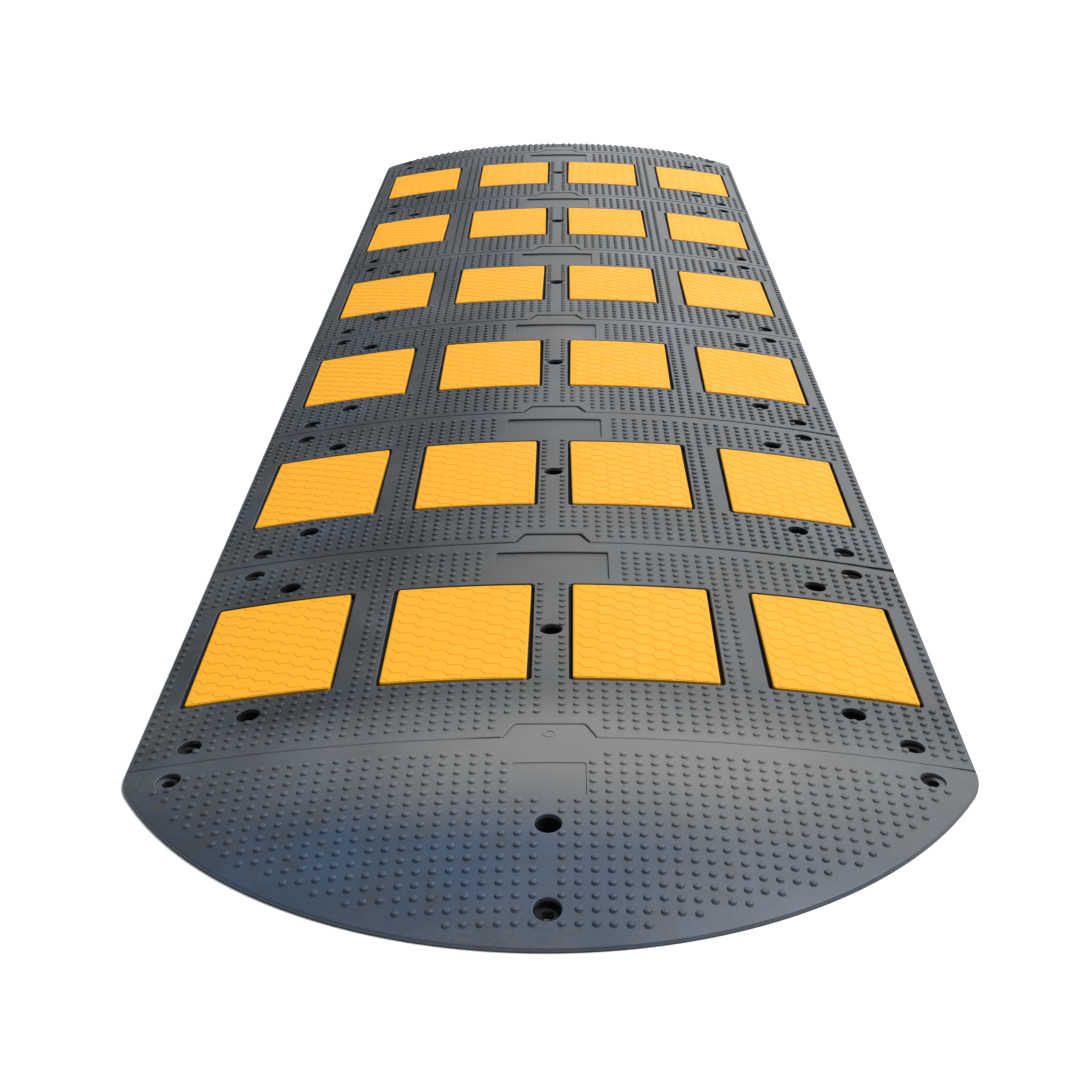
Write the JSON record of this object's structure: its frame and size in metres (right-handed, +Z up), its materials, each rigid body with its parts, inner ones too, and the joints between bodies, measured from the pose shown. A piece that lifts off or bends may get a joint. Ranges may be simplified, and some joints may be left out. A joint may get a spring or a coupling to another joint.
{
  "type": "rubber speed bump",
  "caption": "Modular rubber speed bump: low arched modules with studded tread and yellow honeycomb pads, joined by tongues and finished with half-moon end caps.",
  "frame": {"origin": "middle of the whole footprint, on the road surface", "axes": "+X across the hump, the way traffic crosses it; +Y along the run from the front cap to the rear cap; +Z up"},
  "size_m": [0.9, 3.6, 0.05],
  "materials": {
    "black_rubber": "matte moulded",
    "yellow_pad": "satin moulded"
  },
  "bodies": {
    "root": {"front_end_cap": "black_rubber", "module_1": "black_rubber", "module_1_pad_outer_left": "yellow_pad", "module_1_pad_inner_left": "yellow_pad", "module_1_pad_inner_right": "yellow_pad", "module_1_pad_outer_right": "yellow_pad", "module_2": "black_rubber", "module_2_pad_outer_left": "yellow_pad", "module_2_pad_inner_left": "yellow_pad", "module_2_pad_inner_right": "yellow_pad", "module_2_pad_outer_right": "yellow_pad", "module_3": "black_rubber", "module_3_pad_outer_left": "yellow_pad", "module_3_pad_inner_left": "yellow_pad", "module_3_pad_inner_right": "yellow_pad", "module_3_pad_outer_right": "yellow_pad", "module_4": "black_rubber", "module_4_pad_outer_left": "yellow_pad", "module_4_pad_inner_left": "yellow_pad", "module_4_pad_inner_right": "yellow_pad", "module_4_pad_outer_right": "yellow_pad", "module_5": "black_rubber", "module_5_pad_outer_left": "yellow_pad", "module_5_pad_inner_left": "yellow_pad", "module_5_pad_inner_right": "yellow_pad", "module_5_pad_outer_right": "yellow_pad", "module_6": "black_rubber", "module_6_pad_outer_left": "yellow_pad", "module_6_pad_inner_left": "yellow_pad", "module_6_pad_inner_right": "yellow_pad", "module_6_pad_outer_right": "yellow_pad", "rear_end_cap": "black_rubber"}
  },
  "joints": []
}
